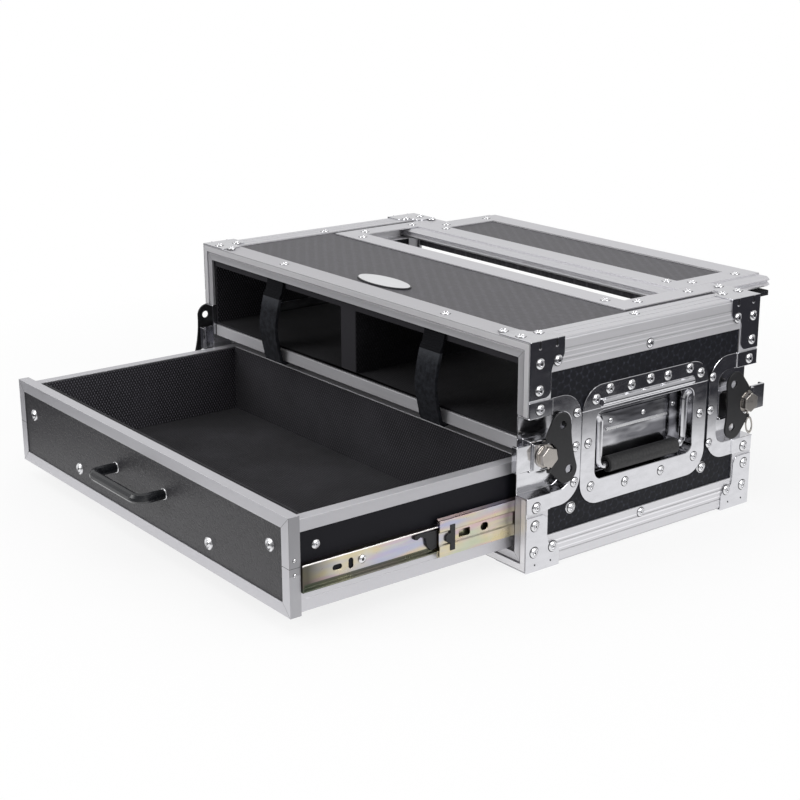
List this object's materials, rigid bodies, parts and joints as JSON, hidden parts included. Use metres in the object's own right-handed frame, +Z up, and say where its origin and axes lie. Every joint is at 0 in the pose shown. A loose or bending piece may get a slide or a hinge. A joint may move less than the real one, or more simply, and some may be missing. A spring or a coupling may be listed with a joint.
{
  "type": "road case with drawers",
  "caption": "Black laminated plywood road case with aluminium edges, open foam-lined bays over a sliding drawer, a sliding top hatch, recessed handles and latches.",
  "frame": {"origin": "centre of the bottom panel's underside, between the bottom edge profiles", "axes": "+X to the case's right seen from the front, +Y from the front to the rear, +Z up; the drawer opens towards -Y"},
  "size_m": [0.549, 0.6317, 0.2114],
  "materials": {
    "satin_aluminium": "satin anodised extrusion",
    "bright_plated_steel": "bright nickel plate",
    "yellow_zinc_steel": "yellow zinc plate with a faint rainbow",
    "dull_plated_steel": "dull zinc plate",
    "black_coated_steel": "semi-matt black coat",
    "black_laminate": "embossed black laminate on plywood",
    "black_laminated_board": "black laminated plywood",
    "black_foam": "woven-dot textured black foam",
    "black_webbing": "black hook-and-loop webbing",
    "black_plastic": "moulded black plastic",
    "black_grip_rubber": "ribbed black rubber sleeve",
    "satin_black_coat": "satin black powder coat"
  },
  "bodies": {
    "case": {"side_panel_right": "black_laminate", "side_panel_left": "black_laminate", "bottom_panel": "black_laminate", "top_panel": "black_laminate", "hatch_frame": "satin_aluminium", "front_frame_upper": "satin_aluminium", "top_profile_right": "satin_aluminium", "top_profile_left": "satin_aluminium", "base_frame": "satin_aluminium", "brace_top_front_right": "bright_plated_steel", "brace_base_front_right": "bright_plated_steel", "brace_top_front_left": "bright_plated_steel", "brace_base_front_left": "bright_plated_steel", "brace_top_rear_right": "bright_plated_steel", "brace_base_rear_right": "bright_plated_steel", "brace_top_rear_left": "bright_plated_steel", "brace_base_rear_left": "bright_plated_steel", "shelf_panel": "black_laminated_board", "shelf_trim": "satin_aluminium", "bay_lining": "black_foam", "strap_left": "black_webbing", "strap_right": "black_webbing", "handle_dish_right": "bright_plated_steel", "handle_dish_left": "bright_plated_steel", "latch_dish_front_right": "bright_plated_steel", "latch_dish_front_left": "bright_plated_steel", "latch_dish_rear_right": "bright_plated_steel", "latch_dish_rear_left": "bright_plated_steel", "slide_outer_right": "yellow_zinc_steel", "slide_outer_left": "yellow_zinc_steel"},
    "drawer": {"drawer_front": "black_laminate", "drawer_front_trim": "satin_aluminium", "drawer_box": "black_laminated_board", "drawer_lining": "black_foam", "drawer_edge_trim": "satin_aluminium", "drawer_pull": "satin_black_coat", "slide_inner_right": "yellow_zinc_steel", "slide_inner_left": "yellow_zinc_steel"},
    "slide_middle_right": {"slide_middle_right": "yellow_zinc_steel"},
    "slide_middle_left": {"slide_middle_left": "yellow_zinc_steel"},
    "lever_right": {"slide_lever_right": "black_plastic"},
    "lever_left": {"slide_lever_left": "black_plastic"},
    "hatch": {"hatch_trim": "satin_aluminium", "hatch_board": "black_laminate"},
    "handle_right": {"handle_bail_right": "bright_plated_steel", "handle_grip_right": "black_grip_rubber"},
    "handle_left": {"handle_bail_left": "bright_plated_steel", "handle_grip_left": "black_grip_rubber"},
    "hook_front_right": {"latch_hook_front_right": "bright_plated_steel"},
    "spindle_front_right": {"latch_spindle_front_right": "dull_plated_steel"},
    "wing_front_right": {"latch_wing_front_right": "black_coated_steel"},
    "hook_front_left": {"latch_hook_front_left": "bright_plated_steel"},
    "spindle_front_left": {"latch_spindle_front_left": "dull_plated_steel"},
    "wing_front_left": {"latch_wing_front_left": "black_coated_steel"},
    "hook_rear_right": {"latch_hook_rear_right": "bright_plated_steel"},
    "spindle_rear_right": {"latch_spindle_rear_right": "dull_plated_steel"},
    "wing_rear_right": {"latch_wing_rear_right": "black_coated_steel"},
    "hook_rear_left": {"latch_hook_rear_left": "bright_plated_steel"},
    "spindle_rear_left": {"latch_spindle_rear_left": "dull_plated_steel"},
    "wing_rear_left": {"latch_wing_rear_left": "black_coated_steel"}
  },
  "joints": [
    {"name": "drawer_slide", "type": "slide", "parent": "case", "child": "drawer", "axis": [0, 1, 0], "range_m": [0, 0.2376]},
    {"name": "slide_middle_right_slide", "type": "slide", "parent": "case", "child": "slide_middle_right", "axis": [0, 1, 0], "range_m": [0, 0.1188]},
    {"name": "slide_middle_left_slide", "type": "slide", "parent": "case", "child": "slide_middle_left", "axis": [0, 1, 0], "range_m": [0, 0.1188]},
    {"name": "hatch_slide", "type": "slide", "parent": "case", "child": "hatch", "axis": [0, 1, 0], "range_m": [-0.0735, 0.03]},
    {"name": "handle_right_hinge", "type": "hinge", "parent": "case", "child": "handle_right", "pos_m": [0.2615, -0.0015, 0.127], "axis": [0, -1, 0], "range_deg": [0, 90], "stiffness_Nm_per_rad": 0.12, "springref_deg": -17.19},
    {"name": "lever_right_hinge", "type": "hinge", "parent": "drawer", "child": "lever_right", "pos_m": [0.2463, -0.23638, 0.046], "axis": [1, 0, 0], "range_deg": [-2, 10], "stiffness_Nm_per_rad": 0.004},
    {"name": "handle_left_hinge", "type": "hinge", "parent": "case", "child": "handle_left", "pos_m": [-0.2615, -0.0015, 0.127], "axis": [0, 1, 0], "range_deg": [0, 90], "stiffness_Nm_per_rad": 0.12, "springref_deg": -17.19},
    {"name": "lever_left_hinge", "type": "hinge", "parent": "drawer", "child": "lever_left", "pos_m": [-0.2463, -0.23638, 0.046], "axis": [1, 0, 0], "range_deg": [-2, 10], "stiffness_Nm_per_rad": 0.004},
    {"name": "hook_front_right_slide", "type": "slide", "parent": "case", "child": "hook_front_right", "axis": [0, -1, 0], "range_m": [0, 0.0085]},
    {"name": "spindle_front_right_turn", "type": "hinge", "parent": "hook_front_right", "child": "spindle_front_right", "pos_m": [0.2665, -0.127, 0.1039], "axis": [1, 0, 0], "range_deg": [0, 180]},
    {"name": "wing_front_right_fold", "type": "hinge", "parent": "spindle_front_right", "child": "wing_front_right", "pos_m": [0.2697, -0.127, 0.1039], "axis": [0, 0.1908, -0.9816], "range_deg": [0, 180]},
    {"name": "hook_front_left_slide", "type": "slide", "parent": "case", "child": "hook_front_left", "axis": [0, -1, 0], "range_m": [0, 0.0085]},
    {"name": "spindle_front_left_turn", "type": "hinge", "parent": "hook_front_left", "child": "spindle_front_left", "pos_m": [-0.2665, -0.127, 0.1039], "axis": [-1, 0, 0], "range_deg": [0, 180]},
    {"name": "wing_front_left_fold", "type": "hinge", "parent": "spindle_front_left", "child": "wing_front_left", "pos_m": [-0.2697, -0.127, 0.1039], "axis": [0, -0.1219, -0.9925], "range_deg": [0, 180]},
    {"name": "hook_rear_right_slide", "type": "slide", "parent": "case", "child": "hook_rear_right", "axis": [0, -1, 0], "range_m": [0, 0.0085]},
    {"name": "spindle_rear_right_turn", "type": "hinge", "parent": "hook_rear_right", "child": "spindle_rear_right", "pos_m": [0.2665, 0.1355, 0.1039], "axis": [-1, 0, 0], "range_deg": [0, 180]},
    {"name": "wing_rear_right_fold", "type": "hinge", "parent": "spindle_rear_right", "child": "wing_rear_right", "pos_m": [0.2697, 0.1355, 0.1039], "axis": [0, 0, 1], "range_deg": [0, 180]},
    {"name": "hook_rear_left_slide", "type": "slide", "parent": "case", "child": "hook_rear_left", "axis": [0, -1, 0], "range_m": [0, 0.0085]},
    {"name": "spindle_rear_left_turn", "type": "hinge", "parent": "hook_rear_left", "child": "spindle_rear_left", "pos_m": [-0.2665, 0.1355, 0.1039], "axis": [-1, 0, 0], "range_deg": [0, 180]},
    {"name": "wing_rear_left_fold", "type": "hinge", "parent": "spindle_rear_left", "child": "wing_rear_left", "pos_m": [-0.2697, 0.1355, 0.1039], "axis": [0, 0, -1], "range_deg": [0, 180]}
  ],
  "couplings": [
    {"joint": "slide_middle_right_slide", "follows": "drawer_slide", "ratio": 0.5},
    {"joint": "slide_middle_left_slide", "follows": "drawer_slide", "ratio": 0.5},
    {"joint": "spindle_front_right_turn", "follows": "hook_front_right_slide", "rad_per_m": 369.59},
    {"joint": "spindle_front_left_turn", "follows": "hook_front_left_slide", "rad_per_m": 369.59},
    {"joint": "spindle_rear_right_turn", "follows": "hook_rear_right_slide", "rad_per_m": 369.59},
    {"joint": "spindle_rear_left_turn", "follows": "hook_rear_left_slide", "rad_per_m": 369.59}
  ]
}
